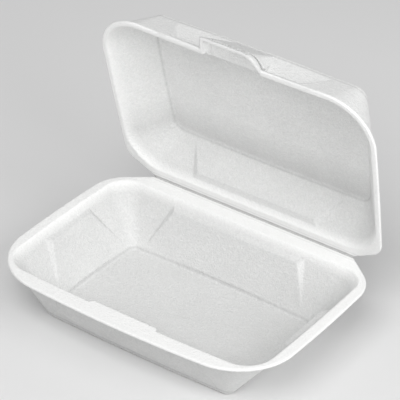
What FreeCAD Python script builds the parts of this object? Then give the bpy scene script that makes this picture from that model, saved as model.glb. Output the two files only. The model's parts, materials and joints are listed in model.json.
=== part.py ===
import FreeCAD, Part
import math
import os
from FreeCAD import Vector

# Foam clamshell container: a shallow tray and a lid, moulded in one sheet of
# expanded foam and joined by a thin scored hinge. Millimetres. Origin at the
# middle of the flat underside, X along the hinge, +Y towards the hinge, +Z up.

# The foam sheet and the scored hinge.
sheet = 2.3               # foam thickness of walls, floor and lid panel
score_half = 1.2          # from the hinge axis to each scored flange edge
web = 0.8                 # foam left in the scored line
web_drop = 0.2            # how far the web lies below the rim
web_gap = 0.15            # from the hinge axis to the end of each half web
shut_gap = 0.3            # rim to rim when the lid is shut

# The tray.
tray_height = 42.0
base_length = 158.0       # flat underside, along the hinge
base_depth = 102.0
base_to_hinge = 38.5      # rear edge of the underside to the hinge axis
base_corner = 5.0
base_bow = 1.5
rim_length = 232.0        # outer edge of the tray rim at its corners
rim_depth = 169.5         # hinge axis to the middle of the front rim
rim_bow_front = 6.5
rim_bow_side = 2.0
rim_corner_front = 47.0
rim_corner_rear = 30.0
hinge_length = 178.5
hinge_corner_drop = 21.0  # how far the rear rim corners sit forward of the hinge
flange_side = 9.5
flange_front = 12.5
flange_rear = 14.0
mouth_corner_front = 22.0
mouth_corner_rear = 18.0
tab_length = 57.0         # front latch tab, inward step of the rim
tab_reach = 3.4
tab_round = 3.0

# The lid.
lid_height = 34.0
top_length = 177.0        # flat panel of the lid
top_depth = 108.5
top_to_hinge = 26.0
top_corner = 8.0
top_bow = 1.5
top_taper = 3.0           # narrower at the hinge by this, each side
lid_length = 232.0         # along the front rim
lid_rear_length = 224.0
lid_depth = 151.5
lid_bow_front = -1.5      # the front rim is drawn in towards the pocket
lid_bow_side = 1.0
lid_corner_front = 36.0
lid_corner_rear = 15.0
lid_corner_drop = 13.0
lip_side = 5.0
lip_front = 4.0
lip_rear = 8.0
lid_mouth_corner_front = 32.0
lid_mouth_corner_rear = 30.0
pocket_length = 53.5      # front latch pocket, outward step of the lid lip
pocket_reach = 12.5
pocket_depth = 8.0
pocket_slope = 14.0       # run of its S-curved end
pocket_head = 17.0        # half length where it fades out near the flat panel
pocket_start = 4.0
lid_open_deg = 76.0       # lid angle in the photograph, 0 when shut

# Stiffening panels pressed into the walls. They fade out towards the floor.
panel_rise = 3.4
panel_edge = 3.6          # width of a panel's sloping border
side_panel = (26.0, 40.0)     # half widths at its top and at the floor
long_panel = (58.0, 71.0)
lid_panel = (54.5, 68.0)
panel_top = 0.86          # its top, as a share of the wall's height
panel_foot = 0.06
panel_fade = 0.12          # what is left of its rise at the floor
panel_shift = 6.0         # side panels sit this far towards the hinge

soften_floor = 2.0
soften_mouth = 0.9
soften_rim = 0.8

hinge_y = base_depth / 2 + base_to_hinge


def arc_between(a, b, bow):
    """Edge from a to b, bowed to the right of its direction by bow."""
    if bow == 0:
        return Part.LineSegment(a, b).toShape()
    way = b.sub(a)
    side = Vector(way.y, -way.x, 0)
    side.normalize()
    middle = a.add(b).multiply(0.5).add(side.multiply(bow))
    return Part.Arc(a, middle, b).toShape()


def blank(points, bows, height, rounds):
    """Prism on a bowed polygon, its upright edges rounded where asked."""
    edges = []
    for i, a in enumerate(points):
        edges.append(arc_between(a, points[(i + 1) % len(points)], bows[i]))
    face = Part.Face(Part.Wire(edges))
    solid = face.extrude(Vector(0, 0, height))
    for point, radius in rounds:
        upright = []
        for edge in solid.Edges:
            centre = edge.CenterOfMass
            near = math.hypot(centre.x - point.x, centre.y - point.y) < 0.01
            if near and abs(centre.z - point.z - height / 2) < 0.01:
                upright.append(edge)
        solid = solid.makeFillet(radius, upright)
    return solid


def plan(half, front, rear, z, height, bow, r_front, r_rear, taper=0):
    """Four-sided blank: bow holds the front, side and rear bows."""
    a = Vector(-half, front, z)
    b = Vector(half, front, z)
    c = Vector(half - taper, rear, z)
    d = Vector(taper - half, rear, z)
    rounds = [(a, r_front), (b, r_front), (c, r_rear), (d, r_rear)]
    return blank([a, b, c, d], [bow[0], bow[1], bow[2], bow[1]], height, rounds)


def rim_blank(halves, front, bow_front, bow_side, r_front, r_rear, rear, drop, z):
    """Six-sided flange blank with its rear corners cut back from the hinge."""
    half, rear_half = halves
    short = hinge_length / 2
    drop = rear - drop
    points = [
        Vector(-half, front, z),
        Vector(half, front, z),
        Vector(rear_half, drop, z),
        Vector(short, rear, z),
        Vector(-short, rear, z),
        Vector(-rear_half, drop, z),
    ]
    bows = [bow_front, bow_side, 0, 0, 0, bow_side]
    rounds = [
        (points[0], r_front),
        (points[1], r_front),
        (points[2], r_rear),
        (points[5], r_rear),
    ]
    solid = blank(points, bows, sheet, rounds)
    ring = []
    for edge in level_edges(solid, z) + level_edges(solid, z + sheet):
        if edge.CenterOfMass.y < rear - 1:
            ring.append(edge)
    return solid.makeFillet(soften_rim, ring)


def level_edges(solid, z):
    """Edges lying wholly at height z."""
    found = []
    for edge in solid.Edges:
        box = edge.BoundBox
        if abs(box.ZMin - z) < 0.01 and abs(box.ZMax - z) < 0.01:
            found.append(edge)
    return found


def foot_wire(solid):
    """Outer wire of the lowest flat face."""
    return min(solid.Faces, key=lambda face: face.CenterOfMass.z).OuterWire


def body_between(low, high):
    return Part.makeLoft([foot_wire(low), foot_wire(high)], True, True)


def trapezoid(origin, along, up, inward, halves, heights, depths):
    """Closed wire of a trapezoid, its head and foot at depths along the normal."""
    corners = []
    for side, half, rise, depth in (
        (-1, halves[1], heights[0], depths[1]),
        (1, halves[1], heights[0], depths[1]),
        (1, halves[0], heights[1], depths[0]),
        (-1, halves[0], heights[1], depths[0]),
    ):
        spot = origin.add(Vector(along).multiply(side * half))
        spot = spot.add(Vector(inward).multiply(depth))
        corners.append(spot.add(Vector(up).multiply(rise)))
    corners.append(corners[0])
    return Part.makePolygon(corners)


def wall_panel(foot, head, along, halves, heights):
    """Pressed panel on the wall whose inner middle line runs foot to head."""
    up = head.sub(foot)
    length = up.Length
    up.normalize()
    inward = along.cross(up)
    inward.normalize()
    low = heights[0] * length
    high = heights[1] * length
    foot_rise = panel_rise * panel_fade
    slim = (halves[0] - panel_edge, halves[1] - panel_edge * panel_fade)
    wide = (low, high)
    narrow = (low, high - panel_edge)

    def layer(sides, rises, head_depth, foot_depth):
        return trapezoid(
            foot, along, up, inward, sides, rises, (head_depth, foot_depth)
        )

    add = Part.makeLoft(
        [
            layer(halves, wide, -1.2, -1.2),
            layer(halves, wide, 0, 0),
            layer(slim, narrow, panel_rise, foot_rise),
        ],
        True,
        True,
    )
    hollow = Part.makeLoft(
        [
            layer(halves, wide, -sheet - 4, -sheet - 4),
            layer(halves, wide, -sheet, -sheet),
            layer(slim, narrow, panel_rise - sheet, foot_rise - sheet),
        ],
        True,
        True,
    )
    return add, hollow


def dish(floor, mouth, height, rim, boss=None):
    """Walls and floor between two outlines, joined to the flange and any boss."""
    half, front, rear, bow, corner, taper = floor
    m_half, m_front, m_rear, m_bow, m_corners, m_taper = mouth
    run = 0.5 * sheet
    bows = (bow, bow, bow)
    outer_low = plan(half, front, rear, 0, 1, bows, corner, corner, taper)
    inner_low = plan(
        half - run, front + run, rear - run, sheet, 1, bows, corner, corner, taper
    )
    wall = 1.25 * sheet
    inner_high = plan(
        m_half,
        m_front,
        m_rear,
        height,
        1,
        m_bow,
        m_corners[0],
        m_corners[1],
        m_taper,
    )
    outer_high = plan(
        m_half + wall,
        m_front - wall,
        m_rear + wall,
        height,
        1,
        m_bow,
        m_corners[0] + wall,
        m_corners[1] + wall,
        m_taper,
    )
    shell = body_between(outer_low, outer_high)
    shell = shell.makeFillet(soften_floor, level_edges(shell, 0))
    hollow = body_between(inner_low, inner_high)
    hollow = hollow.makeFillet(soften_floor, level_edges(hollow, sheet))
    solid = shell.fuse(rim)
    if boss:
        solid = solid.fuse(boss)
    solid = solid.cut(hollow)
    lip = []
    for edge in level_edges(solid, height):
        middle = edge.valueAt((edge.FirstParameter + edge.LastParameter) / 2)
        if hollow.distToShape(Part.Vertex(middle))[0] < 0.01:
            lip.append(edge)
    return solid.makeFillet(soften_mouth, lip)


def tray():
    half = rim_length / 2
    front = hinge_y - rim_depth + rim_bow_front
    top = tray_height
    rim = rim_blank(
        (half, half),
        front,
        rim_bow_front,
        rim_bow_side,
        rim_corner_front,
        rim_corner_rear,
        hinge_y - score_half,
        hinge_corner_drop,
        top - sheet,
    )
    m_half = half + rim_bow_side - flange_side
    m_bow = (3.0, 1.5, 0)
    m_front = hinge_y - rim_depth + flange_front + m_bow[0]
    m_rear = hinge_y - flange_rear
    floor = (base_length / 2, -base_depth / 2, base_depth / 2, base_bow, base_corner, 0)
    corners = (mouth_corner_front, mouth_corner_rear)
    mouth = (m_half, m_front, m_rear, m_bow, corners, 0)
    solid = dish(floor, mouth, top, rim)
    lift = sheet
    foot = base_length / 2 - 0.5 * sheet
    deep = base_depth / 2 - 0.5 * sheet
    heights = (panel_foot, panel_top)
    walls = [
        (Vector(foot + base_bow, panel_shift, lift),
         Vector(m_half + m_bow[1], panel_shift, top),
         Vector(0, -1, 0), side_panel),
        (Vector(-foot - base_bow, panel_shift, lift),
         Vector(-m_half - m_bow[1], panel_shift, top),
         Vector(0, 1, 0), side_panel),
        (Vector(0, deep + base_bow, lift), Vector(0, m_rear, top),
         Vector(1, 0, 0), long_panel),
        (Vector(0, -deep - base_bow, lift), Vector(0, m_front - m_bow[0], top),
         Vector(-1, 0, 0), long_panel),
    ]
    for low, high, along, halves in walls:
        add, hollow = wall_panel(low, high, along, halves, heights)
        solid = solid.fuse(add).cut(hollow)
    solid = solid.fuse(latch_tab(m_front - m_bow[0], top))
    solid = solid.fuse(half_web(top))
    return solid.removeSplitter()


def latch_tab(edge, top):
    """Inward step in the middle of the front rim that the lid catches on."""
    half = tab_length / 2
    face = plan(
        half, edge - 4, edge + tab_reach, top - sheet, sheet, (0, 0, 0), 1.0, tab_round
    )
    return face


def half_web(top):
    """Thin foam left between the flange edge and the hinge axis."""
    return Part.makeBox(
        hinge_length - 1.0,
        score_half - web_gap + 0.5,
        web,
        Vector(
            -hinge_length / 2 + 0.5, hinge_y - score_half - 0.5, top - web - web_drop
        ),
    )


def pocket_profile(half, inset, front, edge, back, z, slope):
    """Closed outline of the latch pocket at one level, its right side S-curved."""
    left = inset - half
    right = half - 0.6 * inset
    a = Vector(left, back, z)
    b = Vector(left + 0.25 * slope, front, z)
    c = Vector(right - slope, front, z)
    d = Vector(right, edge, z)
    e = Vector(right, back, z)
    curve = Part.BezierCurve()
    reach = 0.6 * slope
    curve.setPoles([c, c.add(Vector(reach, 0, 0)), d.add(Vector(-reach / 3, 0, 0)), d])
    edges = [
        Part.LineSegment(a, b).toShape(),
        Part.LineSegment(b, c).toShape(),
        curve.toShape(),
        Part.LineSegment(d, e).toShape(),
        Part.LineSegment(e, a).toShape(),
    ]
    return Part.Wire(edges)


def pocket_bodies(front, wall_front, height):
    """Outer body of the latch pocket and the hollow inside it."""
    half = pocket_length / 2
    far = front - pocket_reach
    foot = pocket_profile(
        pocket_head, 0, wall_front + 0.3, wall_front + 4, front + 24, pocket_start, 2.0
    )
    head = pocket_profile(half, 0, far, front, front + 12, height, pocket_slope)
    boss = Part.makeLoft([foot, head], True, True)
    lip = far + 1.4 * sheet
    levels = []
    for z, tuck in ((height - pocket_depth, 1.5), (height, 0)):
        levels.append(
            pocket_profile(
                half - tuck, sheet, lip + tuck, front + 2, front + 12, z, pocket_slope
            )
        )
    return boss, Part.makeLoft(levels, True, True)


def lid():
    half = lid_length / 2
    front = -lid_depth + lid_bow_front
    rim = rim_blank(
        (half, lid_rear_length / 2),
        front,
        lid_bow_front,
        lid_bow_side,
        lid_corner_front,
        lid_corner_rear,
        -score_half,
        lid_corner_drop,
        lid_height - sheet,
    )
    m_half = half + lid_bow_side - lip_side
    m_bow = (lid_bow_front, 1.0, 0)
    m_front = -lid_depth + lip_front + m_bow[0]
    top_front = -top_to_hinge - top_depth
    floor = (top_length / 2, top_front, -top_to_hinge, top_bow, top_corner, top_taper)
    corners = (lid_mouth_corner_front, lid_mouth_corner_rear)
    taper = (lid_length - lid_rear_length) / 2
    mouth = (m_half, m_front, -lip_rear, m_bow, corners, taper)
    spread = m_front - m_bow[0] - 1.25 * sheet - top_front + top_bow
    wall_front = top_front - top_bow + spread * pocket_start / lid_height
    boss, pocket = pocket_bodies(-lid_depth, wall_front, lid_height)
    solid = dish(floor, mouth, lid_height, rim, boss)
    deep = -top_to_hinge - 0.5 * sheet
    near = top_front + 0.5 * sheet
    walls = [
        (Vector(0, deep + top_bow, sheet), Vector(0, -lip_rear, lid_height),
         Vector(1, 0, 0)),
        (Vector(0, near - top_bow, sheet), Vector(0, m_front - m_bow[0], lid_height),
         Vector(-1, 0, 0)),
    ]
    for low, high, along in walls:
        add, hollow = wall_panel(low, high, along, lid_panel, (panel_foot, panel_top))
        solid = solid.fuse(add)
        solid = solid.cut(hollow.cut(boss))
    solid = solid.cut(pocket)
    web_box = half_web(lid_height)
    web_box.translate(Vector(0, -hinge_y, 0))
    solid = solid.fuse(web_box).removeSplitter()
    solid = solid.mirror(Vector(0, 0, 0), Vector(0, 0, 1))
    solid.translate(Vector(0, hinge_y, tray_height + shut_gap + lid_height))
    solid.rotate(
        Vector(0, hinge_y, tray_height + shut_gap / 2), Vector(1, 0, 0), -lid_open_deg
    )
    return solid


def main():
    os.makedirs("parts", exist_ok=True)
    tray().exportStep("parts/tray.step")
    lid().exportStep("parts/lid.step")


main()
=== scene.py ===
import json
import math

import bmesh
import bpy
from bpy.props import FloatProperty, FloatVectorProperty, IntProperty, PointerProperty
from mathutils import Matrix, Vector


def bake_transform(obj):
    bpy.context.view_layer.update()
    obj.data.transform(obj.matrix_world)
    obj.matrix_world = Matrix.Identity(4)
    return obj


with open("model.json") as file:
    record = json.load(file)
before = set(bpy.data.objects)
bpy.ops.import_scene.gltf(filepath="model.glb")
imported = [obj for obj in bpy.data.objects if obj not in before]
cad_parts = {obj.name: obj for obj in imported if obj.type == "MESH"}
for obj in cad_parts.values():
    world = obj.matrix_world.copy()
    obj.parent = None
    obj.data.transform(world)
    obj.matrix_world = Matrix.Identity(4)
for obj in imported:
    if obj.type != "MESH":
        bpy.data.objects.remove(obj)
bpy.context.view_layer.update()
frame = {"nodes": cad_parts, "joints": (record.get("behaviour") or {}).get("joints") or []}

bl_info = {
    "name": "Foam food box",
    "version": (1, 0, 0),
    "blender": (4, 5, 0),
    "location": "3D View > Sidebar > Foam box",
    "description": "Dresses the hinged foam food box and sets up its studio",
    "category": "Object",
}

HINGE = Vector(frame["joints"][0]["pos_m"])
UP = Vector((0, 0, 1))
FRONT = Vector((0, -1, 0))

# How far the lid stands open at rest, and the ways its mouth faces and it runs.
REST_LEAN = math.radians(76)
LID_MOUTH = Vector((0, -math.sin(REST_LEAN), -math.cos(REST_LEAN)))
LID_RUN = Vector((0, -math.cos(REST_LEAN), math.sin(REST_LEAN)))

# Depths below the fold line at which the walls meet the floor of each piece.
TRAY_CREASE = 0.0384
LID_CREASE = 0.0304
NO_CREASE = 1.0  # far below the web, so that none shows

# Distance from the fold line to the second dark line beside it, painted shade with no
# groove in the shape.
RIDGE_REACH = 0.0034

# Ends of the bend, in the middle of the thin edge of each half.
WEB_START = HINGE + Vector((0, -0.00015, -0.00075))
WEB_END = HINGE + Vector((0, 0.00069, 0.00033))


class FoamFinish(bpy.types.PropertyGroup):
    """Colours and surface of the moulded foam, with painted shade on walls, creases and
    score lines.
    """

    light_tint: FloatVectorProperty(
        name="Foam colour",
        description="Colour of the foam skin between its cell walls",
        subtype="COLOR",
        default=(0.955, 0.955, 0.948),
    )
    deep_tint: FloatVectorProperty(
        name="Cell colour",
        description="Slightly darker colour of the cell walls",
        subtype="COLOR",
        default=(0.76, 0.765, 0.76),
    )
    # Painted shade: below its rim band the tray, walls and floor, inside and out, is drawn
    # darker than the rim.
    tray_painted_shade: FloatProperty(
        name="Tray shade",
        description="Colour of the thin stretched tray walls, as a share of the rim's",
        default=0.82,
        subtype="FACTOR",
    )
    # Painted shade for the lid below its rim band.
    lid_painted_shade: FloatProperty(
        name="Lid shade",
        description="Colour of the thin stretched lid walls, as a share of the rim's",
        default=1.0,
        subtype="FACTOR",
    )
    # Painted shade: the lid's rear wall, next to the fold, is drawn darker still.
    lid_back_painted_shade: FloatProperty(
        name="Lid back shade",
        description="Colour of the lid's rear wall, as a share of the other lid walls",
        default=0.83,
        subtype="FACTOR",
    )
    rim_speckle: FloatProperty(
        name="Rim speckle",
        description="Share of the speckle that is left on the thick rim",
        default=0.35,
        subtype="FACTOR",
    )
    # Painted shade: darker colour in the floor creases, along the score line and along the
    # second line beside it.
    crease: FloatProperty(
        name="Crease shade",
        description="How much darker the pressed crease round each floor is",
        default=0.26,
        subtype="FACTOR",
    )
    # Also sets where the painted shade of the walls sets in below the rim.
    rim_band: FloatProperty(
        name="Rim band",
        description="Depth over which the pale rim fades into the walls",
        default=0.007,
        unit="LENGTH",
    )
    cell: FloatProperty(
        name="Cell size",
        description="Width of one foam cell on the skin",
        default=0.0011,
        unit="LENGTH",
    )
    cell_relief: FloatProperty(
        name="Cell relief",
        description="Height of the cell pattern",
        default=0.00048,
        unit="LENGTH",
    )
    wave_relief: FloatProperty(
        name="Sheet unevenness",
        description="Height of the slow waves left by the mould",
        default=0.0009,
        unit="LENGTH",
    )
    roughness: FloatProperty(
        name="Roughness",
        description="Mean roughness of the skin",
        default=0.5,
        subtype="FACTOR",
    )
    edge_round: FloatProperty(
        name="Edge softness",
        description="Radius that moulded corners seem to have",
        default=0.0016,
        unit="LENGTH",
    )


class HingeSizes(bpy.types.PropertyGroup):
    """Sizes of the thin foam web in the scored hinge line."""

    length: FloatProperty(
        name="Web length",
        description="Length of the web along the hinge",
        default=0.1758,
        unit="LENGTH",
    )
    thickness: FloatProperty(
        name="Web thickness",
        description="Thickness of the pressed foam in the hinge line",
        default=0.0005,
        unit="LENGTH",
    )
    grip: FloatProperty(
        name="Web grip",
        description="How far the web runs into each half",
        default=0.0010,
        unit="LENGTH",
    )
    sag: FloatProperty(
        name="Web sag",
        description="How far the bend bulges to the outside",
        default=0.00012,
        unit="LENGTH",
    )
    steps: IntProperty(
        name="Bend steps",
        description="Rows of faces over the bend",
        default=4,
        min=1,
    )


class StudioSettings(bpy.types.PropertyGroup):
    """Camera, floor and lights."""

    azimuth: FloatProperty(
        name="Camera azimuth",
        description="Camera direction round the box",
        default=math.radians(34.79),
        subtype="ANGLE",
    )
    elevation: FloatProperty(
        name="Camera elevation",
        description="Camera height as an angle",
        default=math.radians(33.12),
        subtype="ANGLE",
    )
    roll: FloatProperty(
        name="Camera roll",
        description="Turn of the camera about its own axis",
        default=math.radians(1.49),
        subtype="ANGLE",
    )
    distance: FloatProperty(
        name="Camera distance",
        description="Distance from the camera to the hinge line",
        default=1.7557,
        unit="LENGTH",
    )
    lens: FloatProperty(
        name="Lens",
        description="Focal length in millimetres on a 36 mm sensor",
        default=216.5,
    )
    floor_tint: FloatVectorProperty(
        name="Floor colour",
        description="Colour of the studio floor",
        subtype="COLOR",
        default=(0.76, 0.76, 0.76),
    )


class Signal:
    """A shader output that adds its own Math nodes when it is used in sums."""

    def __init__(self, recipe, socket):
        self.recipe = recipe
        self.socket = socket

    def __add__(self, other):
        return self.recipe.sum("ADD", self, other)

    def __radd__(self, other):
        return self.recipe.sum("ADD", other, self)

    def __sub__(self, other):
        return self.recipe.sum("SUBTRACT", self, other)

    def __rsub__(self, other):
        return self.recipe.sum("SUBTRACT", other, self)

    def __mul__(self, other):
        return self.recipe.sum("MULTIPLY", self, other)

    def __rmul__(self, other):
        return self.recipe.sum("MULTIPLY", other, self)


class Recipe:
    """Builds one material out of nodes."""

    def __init__(self, name):
        self.material = bpy.data.materials.new(name)
        self.material.use_nodes = True
        self.tree = self.material.node_tree
        self.tree.nodes.clear()

    def node(self, kind, settings=None, sockets=None, out=0):
        """Add a node: its settings first, then its sockets, and give one output."""
        made = self.tree.nodes.new(kind)
        for name, value in (settings or {}).items():
            setattr(made, name, value)
        for key, value in (sockets or {}).items():
            if isinstance(value, Signal):
                self.tree.links.new(value.socket, made.inputs[key])
            else:
                made.inputs[key].default_value = value
        if not made.outputs:
            return made
        return Signal(self, made.outputs[out])

    def sum(self, operation, a, b):
        return self.node("ShaderNodeMath", {"operation": operation}, {0: a, 1: b})

    def blend_tints(self, factor, a, b):
        return self.node(
            "ShaderNodeMix",
            {"data_type": "RGBA"},
            {0: factor, 6: (*a, 1), 7: (*b, 1)},
            2,
        )

    def clamp(self, value):
        return self.node("ShaderNodeClamp", None, {"Value": value})

    def noise(self, place, scale, detail, roughness=0.5, out=0):
        sockets = {
            "Vector": place,
            "Scale": scale,
            "Detail": detail,
            "Roughness": roughness,
        }
        return self.node("ShaderNodeTexNoise", None, sockets, out)

    def reach(self, spot, start, way):
        """How far a spot lies past a point in one direction."""
        along = self.node(
            "ShaderNodeVectorMath", {"operation": "DOT_PRODUCT"}, {0: spot, 1: way}, 1
        )
        return along - start.dot(way)

    def band(self, distance, slope, peak=1.0):
        """A line where the distance is zero that fades away on both sides."""
        return self.clamp(peak - self.sum("ABSOLUTE", distance, 0.0) * slope)

    def bump(self, strength, distance, height, normal):
        sockets = {
            "Strength": strength,
            "Distance": distance,
            "Height": height,
            "Normal": normal,
        }
        return self.node("ShaderNodeBump", None, sockets)

    def finish(self, shader):
        self.node("ShaderNodeOutputMaterial", None, {"Surface": shader})
        return self.material


class Moulding:
    """How the foam runs over one piece, in the coordinates of that piece.

    Start is a point of the fold line, facing is the way the mouth faces, and
    away leads from the fold over the piece. Crease is the depth at which the
    walls meet the floor, and the two shade values are painted shade for the
    walls and for the wall next to the fold.
    """

    def __init__(self, start, facing, away, crease, shade, back_painted_shade):
        self.start = start
        self.facing = facing
        self.away = away
        self.crease = crease
        self.shade = shade
        self.back_painted_shade = back_painted_shade


def painted_shade_share(recipe, finish, spot, moulding, below_rim, height):
    """Painted shade: share of the rim's colour that the walls, creases and score lines
    keep.
    """
    past = recipe.reach(spot, moulding.start, moulding.away)
    near = recipe.clamp(2.2 - past * 38.0)  # full to 32 mm, gone at 58 mm
    # Painted shade in the floor creases, along the score line and along the line beside
    # it.
    pressed = recipe.band(height + moulding.crease, 700.0)
    score = recipe.band(past, 900.0, 1.5)
    ridge = recipe.band(past - RIDGE_REACH, 1400.0)
    # Painted shade: walls darker than the rim, and the wall next to the fold darker still.
    back_painted_step = moulding.shade - moulding.back_painted_shade
    walls = 1.0 - below_rim * (1.0 - moulding.shade + near * back_painted_step)
    lines = pressed * 0.7 + score + ridge * 0.5
    return walls * (1.0 - lines * finish.crease)


def foam_material(name, finish, shift, moulding):
    """Matt white foam skin: cells, a fine grain and slow mould waves.

    The foam is smoothest at the thick rim. Painted shade makes it palest at
    the rim, darker on the walls and darkest in the pressed creases.
    """
    recipe = Recipe(name)
    spot = recipe.node("ShaderNodeTexCoord", out="Object")
    place = recipe.node(
        "ShaderNodeMapping",
        {"vector_type": "POINT"},
        {"Vector": spot, "Location": (shift, shift, shift)},
    )
    bend = recipe.noise(place, 160.0, 1.0, out=1)
    bent = recipe.node(
        "ShaderNodeVectorMath",
        {"operation": "MULTIPLY_ADD"},
        {0: bend, 1: (0.0012, 0.0012, 0.0012), 2: place},
    )
    cells = recipe.node(
        "ShaderNodeTexVoronoi",
        {"feature": "SMOOTH_F1"},
        {"Vector": bent, "Scale": 1.0 / finish.cell, "Smoothness": 0.6},
    )
    grain = recipe.noise(place, 0.45 / finish.cell, 3.0, 0.6)
    cloud = recipe.noise(place, 34.0, 2.0)
    wave = recipe.noise(place, 17.0, 1.0)

    height = recipe.reach(spot, moulding.start, moulding.facing)
    below_rim = recipe.clamp(height * (-1.0 / finish.rim_band))
    spots = recipe.clamp(1.42 - (cells * 0.55 + grain * 0.75 + cloud * 0.35))
    speckle = below_rim * (1.0 - finish.rim_speckle) + finish.rim_speckle
    skin = recipe.blend_tints(
        1.0 - spots * speckle, finish.deep_tint, finish.light_tint
    )
    # Painted shade scales the foam colour.
    share = painted_shade_share(recipe, finish, spot, moulding, below_rim, height)
    tint = recipe.node(
        "ShaderNodeVectorMath", {"operation": "SCALE"}, {0: skin, "Scale": share}
    )
    rounded = recipe.node("ShaderNodeBevel", {"samples": 8}, {"Radius": finish.edge_round})
    slow = recipe.bump(0.6, finish.wave_relief, wave, rounded)
    fine = recipe.bump(0.7, finish.cell_relief, cells + grain * 1.2, slow)
    shader = recipe.node(
        "ShaderNodeBsdfPrincipled",
        None,
        {
            "Base Color": tint,
            "Roughness": finish.roughness + (grain - 0.5) * 0.25,
            "IOR": 1.42,
            "Normal": fine,
        },
    )
    return recipe.finish(shader)


def deselect_all():
    bpy.ops.object.select_all(action="DESELECT")


def take(piece):
    """Make one piece the only selected and active object."""
    deselect_all()
    piece.select_set(True)
    bpy.context.view_layer.objects.active = piece


def apply_place(piece):
    take(piece)
    bpy.ops.object.transform_apply(location=True, rotation=True, scale=True)


def pick_edges(piece, test):
    """In edit mode, select just the edges whose two ends pass a test."""
    bpy.ops.mesh.select_mode(type="EDGE")
    bpy.ops.mesh.select_all(action="DESELECT")
    mesh = bmesh.from_edit_mesh(piece.data)
    for edge in mesh.edges:
        if all(test(vertex.co) for vertex in edge.verts):
            edge.select_set(True)
    bmesh.update_edit_mesh(piece.data)


class BOX_OT_foam(bpy.types.Operator):
    """Give the tray and the lid their foam finish"""

    bl_idname = "foam_box.foam"
    bl_label = "Foam finish"

    def execute(self, context):
        finish = context.scene.foam_finish
        tray_painted_shades = (finish.tray_painted_shade, 1.0)
        lid_painted_shades = (finish.lid_painted_shade, finish.lid_back_painted_shade)
        self.dress("tray", finish, 0.0, UP, FRONT, TRAY_CREASE, tray_painted_shades)
        self.dress("lid", finish, 0.3, LID_MOUTH, LID_RUN, LID_CREASE, lid_painted_shades)
        return {"FINISHED"}

    def dress(self, node, finish, shift, facing, away, crease, painted_shades):
        """Put the foam on one of the solids, with painted shade for its walls and for its
        back.
        """
        body = frame["nodes"][node]
        to_piece = body.matrix_world.inverted()
        turn = to_piece.to_3x3()
        shade, back_share = painted_shades
        moulding = Moulding(
            to_piece @ HINGE, turn @ facing, turn @ away, crease, shade, shade * back_share
        )
        material = foam_material("foam_" + node, finish, shift, moulding)
        for slot in body.material_slots:
            slot.material = material


class BOX_OT_hinge(bpy.types.Operator):
    """Model the thin foam web that joins the tray and the lid"""

    bl_idname = "foam_box.hinge"
    bl_label = "Hinge web"

    def execute(self, context):
        sizes = context.scene.hinge_sizes
        web = self.lay_strip(sizes)
        self.fold_strip(sizes, web)
        skin = web.modifiers.new("thickness", "SOLIDIFY")
        skin.thickness = sizes.thickness
        skin.offset = 0
        bpy.ops.object.modifier_apply(modifier=skin.name)
        bpy.ops.object.shade_smooth_by_angle(angle=math.radians(50))
        # The web gets no painted crease or wall shade, but the painted score line darkens
        # it.
        moulding = Moulding(HINGE, UP, FRONT, NO_CREASE, 1.0, 1.0)
        finish = context.scene.foam_finish
        web.data.materials.append(foam_material("foam_hinge", finish, 0.2, moulding))
        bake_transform(web)
        return {"FINISHED"}

    def lay_strip(self, sizes):
        """Flat strip that grips the tray and ends where the bend starts."""
        deselect_all()
        bpy.ops.mesh.primitive_plane_add(
            size=1, location=WEB_START + FRONT * (sizes.grip / 2)
        )
        web = bpy.context.active_object
        web.name = "hinge_web"
        web.scale = (sizes.length, sizes.grip, 1)
        apply_place(web)
        return web

    def fold_strip(self, sizes, web):
        """Carry the strip round the bend and on into the lid."""
        route = []
        for step in range(sizes.steps):
            share = (step + 1) / sizes.steps
            sag = math.sin(math.pi * share) * sizes.sag
            route.append(WEB_START.lerp(WEB_END, share) + Vector((0, sag, -sag)))
        route.append(WEB_END + LID_RUN * sizes.grip)
        bpy.ops.object.mode_set(mode="EDIT")
        last = WEB_START
        for spot in route:
            pick_edges(web, lambda co: (co.yz - last.yz).length < 1e-6)
            step = spot - last
            bpy.ops.mesh.extrude_region_move(
                TRANSFORM_OT_translate={"value": (0, step.y, step.z)}
            )
            last = spot
        bpy.ops.mesh.select_all(action="SELECT")
        bpy.ops.mesh.normals_make_consistent(inside=False)
        bpy.ops.object.mode_set(mode="OBJECT")


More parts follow.
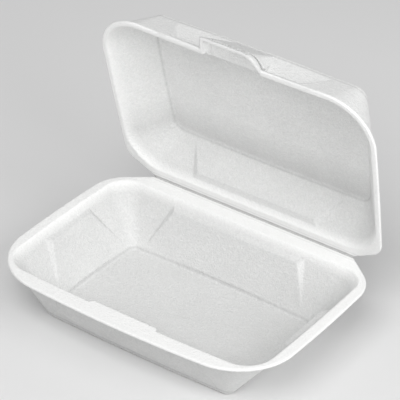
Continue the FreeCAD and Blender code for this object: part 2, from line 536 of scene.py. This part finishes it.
class BOX_OT_studio(bpy.types.Operator):
    """Set up the pale floor, the soft lights and the camera"""

    bl_idname = "foam_box.studio"
    bl_label = "Studio"

    def execute(self, context):
        studio = context.scene.studio_settings
        self.lay_floor(studio)
        self.hang_lights(context.scene)
        self.place_camera(context.scene, studio)
        return {"FINISHED"}

    def lay_floor(self, studio):
        deselect_all()
        bpy.ops.mesh.primitive_plane_add(size=9, location=(0, 0, -0.0002))
        floor = bpy.context.active_object
        floor.name = "studio_floor"
        recipe = Recipe("studio_floor")
        shader = recipe.node(
            "ShaderNodeBsdfPrincipled",
            None,
            {"Base Color": (*studio.floor_tint, 1), "Roughness": 0.8},
        )
        floor.data.materials.append(recipe.finish(shader))

    def hang_lights(self, scene):
        world = bpy.data.worlds.new("studio")
        world.use_nodes = True
        back = world.node_tree.nodes["Background"]
        back.inputs["Color"].default_value = (1, 1, 1, 1)
        back.inputs["Strength"].default_value = 0.37
        scene.world = world
        scene.view_settings.view_transform = "Standard"
        self.lamp("side", (1.7, -0.3, 1.0), 1.4, 20.5)
        self.lamp("front_top", (0.3, -1.45, 1.95), 1.6, 33)

    def lamp(self, name, spot, size, power):
        """Square soft light that looks at the box."""
        light = bpy.data.lights.new(name, "AREA")
        light.size = size
        light.energy = power
        lamp = bpy.data.objects.new(name, light)
        aim = Vector((0, 0.05, 0.05)) - Vector(spot)
        lamp.location = spot
        lamp.rotation_euler = aim.to_track_quat("-Z", "Y").to_euler()
        bpy.context.scene.collection.objects.link(lamp)

    def place_camera(self, scene, studio):
        a, e, r = studio.azimuth, studio.elevation, studio.roll
        back = Vector((math.sin(a) * math.cos(e), -math.cos(a) * math.cos(e), math.sin(e)))
        level = Vector((math.cos(a), math.sin(a), 0))
        rise = back.cross(level)
        right = math.cos(r) * level + math.sin(r) * rise
        up = math.cos(r) * rise - math.sin(r) * level
        fold = Vector((0, 0.0895, 0.042))
        middle = fold - 0.03787 * right + 0.0116 * up
        spot = middle + studio.distance * back
        turn = Matrix((right, up, back)).transposed().to_4x4()
        data = bpy.data.cameras.new("photo_view")
        data.lens = studio.lens
        data.sensor_width = 36
        data.clip_end = 50
        camera = bpy.data.objects.new("photo_view", data)
        camera.matrix_world = Matrix.Translation(spot) @ turn
        scene.collection.objects.link(camera)
        scene.camera = camera


class BOX_PT_panel(bpy.types.Panel):
    """Lists the steps that dress the box"""

    bl_idname = "BOX_PT_panel"
    bl_label = "Foam box"
    bl_space_type = "VIEW_3D"
    bl_region_type = "UI"
    bl_category = "Foam box"

    def draw(self, context):
        layout = self.layout
        groups = (
            ("foam_finish", "foam_box.foam"),
            ("hinge_sizes", "foam_box.hinge"),
            ("studio_settings", "foam_box.studio"),
        )
        for group, step in groups:
            settings = getattr(context.scene, group)
            for name in settings.bl_rna.properties.keys():
                if name not in ("rna_type", "name"):
                    layout.prop(settings, name)
            layout.operator(step)


CLASSES = (
    FoamFinish,
    HingeSizes,
    StudioSettings,
    BOX_OT_foam,
    BOX_OT_hinge,
    BOX_OT_studio,
    BOX_PT_panel,
)


def register():
    for item in CLASSES:
        bpy.utils.register_class(item)
    bpy.types.Scene.foam_finish = PointerProperty(type=FoamFinish)
    bpy.types.Scene.hinge_sizes = PointerProperty(type=HingeSizes)
    bpy.types.Scene.studio_settings = PointerProperty(type=StudioSettings)


def unregister():
    del bpy.types.Scene.studio_settings
    del bpy.types.Scene.hinge_sizes
    del bpy.types.Scene.foam_finish
    for item in reversed(CLASSES):
        bpy.utils.unregister_class(item)


def main():
    register()
    bpy.ops.foam_box.foam()
    bpy.ops.foam_box.hinge()
    bpy.ops.foam_box.studio()


if __name__ == "__main__":
    main()
